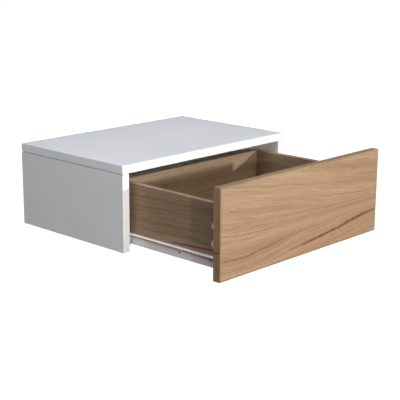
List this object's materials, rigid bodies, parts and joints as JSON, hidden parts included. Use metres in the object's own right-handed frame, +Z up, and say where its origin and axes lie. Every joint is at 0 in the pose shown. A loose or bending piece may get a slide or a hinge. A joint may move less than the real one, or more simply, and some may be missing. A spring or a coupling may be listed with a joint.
{
  "type": "floating nightstand",
  "caption": "Wall-hung nightstand: white board carcass, open underneath, with an oak-decor drawer on roller slides, shown pulled out.",
  "frame": {"origin": "middle of the back panel's rear face, which stands against the wall", "axes": "+X to the right as seen from the front, +Y into the wall, +Z up; the drawer pulls out along -Y"},
  "size_m": [0.46, 0.541, 0.166],
  "materials": {
    "white_board": "satin white melamine on chipboard",
    "white_edging": "satin white edge band",
    "oak_front": "oak decor, fine pore texture, matt",
    "oak_edging": "oak decor edge band, matt",
    "box_board": "oak decor drawer board, matt",
    "bottom_board": "oak decor hardboard, matt",
    "white_steel": "white epoxy coat",
    "roller_nylon": "off-white nylon",
    "cam_zinc": "bare die-cast zinc",
    "screw_steel": "zinc-plated"
  },
  "bodies": {
    "carcass": {"top_panel": "white_board", "top_front_edging": "white_edging", "top_edging_left": "white_edging", "top_edging_right": "white_edging", "side_panel_left": "white_board", "side_panel_right": "white_board", "side_front_edging_left": "white_edging", "side_front_edging_right": "white_edging", "side_bottom_edging_left": "white_edging", "side_bottom_edging_right": "white_edging", "back_panel": "white_board", "top_cam_left_front": "cam_zinc", "top_cam_left_rear": "cam_zinc", "top_cam_right_front": "cam_zinc", "top_cam_right_rear": "cam_zinc", "top_bolt_left_front": "screw_steel", "top_bolt_left_rear": "screw_steel", "top_bolt_right_front": "screw_steel", "top_bolt_right_rear": "screw_steel", "back_cam_left": "cam_zinc", "back_cam_right": "cam_zinc", "back_bolt_left": "screw_steel", "back_bolt_right": "screw_steel", "cabinet_slide_left": "white_steel", "cabinet_slide_right": "white_steel", "cabinet_slide_screw_left_front": "screw_steel", "cabinet_slide_screw_left_rear": "screw_steel", "cabinet_slide_screw_right_front": "screw_steel", "cabinet_slide_screw_right_rear": "screw_steel"},
    "drawer": {"drawer_front": "oak_front", "front_edging_left": "oak_edging", "front_edging_right": "oak_edging", "front_edging_top": "oak_edging", "front_edging_bottom": "oak_edging", "drawer_side_left": "box_board", "drawer_side_right": "box_board", "drawer_back": "box_board", "drawer_bottom": "bottom_board", "drawer_cam_left_upper": "cam_zinc", "drawer_cam_left_lower": "cam_zinc", "drawer_cam_right_upper": "cam_zinc", "drawer_cam_right_lower": "cam_zinc", "drawer_bolt_left_upper": "screw_steel", "drawer_bolt_left_lower": "screw_steel", "drawer_bolt_right_upper": "screw_steel", "drawer_bolt_right_lower": "screw_steel", "drawer_back_screw_left_upper": "screw_steel", "drawer_back_screw_left_lower": "screw_steel", "drawer_back_screw_right_upper": "screw_steel", "drawer_back_screw_right_lower": "screw_steel", "drawer_slide_left": "white_steel", "drawer_slide_right": "white_steel", "drawer_slide_screw_left_front": "screw_steel", "drawer_slide_screw_left_rear": "screw_steel", "drawer_slide_screw_right_front": "screw_steel", "drawer_slide_screw_right_rear": "screw_steel"},
    "front_roller_left": {"front_roller_left": "roller_nylon"},
    "front_roller_right": {"front_roller_right": "roller_nylon"},
    "rear_roller_left": {"rear_roller_left": "roller_nylon"},
    "rear_roller_right": {"rear_roller_right": "roller_nylon"}
  },
  "joints": [
    {"name": "drawer_slide", "type": "slide", "parent": "carcass", "child": "drawer", "axis": [0, -1, 0], "range_m": [-0.224, 0]},
    {"name": "front_roller_left_turn", "type": "hinge", "parent": "carcass", "child": "front_roller_left", "pos_m": [-0.20825, -0.288, -0.06], "axis": [1, 0, 0], "continuous": true},
    {"name": "front_roller_right_turn", "type": "hinge", "parent": "carcass", "child": "front_roller_right", "pos_m": [0.20825, -0.288, -0.06], "axis": [1, 0, 0], "continuous": true},
    {"name": "rear_roller_left_turn", "type": "hinge", "parent": "drawer", "child": "rear_roller_left", "pos_m": [-0.2075, -0.2715, -0.06125], "axis": [1, 0, 0], "continuous": true},
    {"name": "rear_roller_right_turn", "type": "hinge", "parent": "drawer", "child": "rear_roller_right", "pos_m": [0.2075, -0.2715, -0.06125], "axis": [1, 0, 0], "continuous": true}
  ],
  "couplings": [
    {"joint": "front_roller_left_turn", "follows": "drawer_slide", "rad_per_m": 117.65},
    {"joint": "front_roller_right_turn", "follows": "drawer_slide", "rad_per_m": 117.65},
    {"joint": "rear_roller_left_turn", "follows": "drawer_slide", "rad_per_m": -142.86},
    {"joint": "rear_roller_right_turn", "follows": "drawer_slide", "rad_per_m": -142.86}
  ]
}
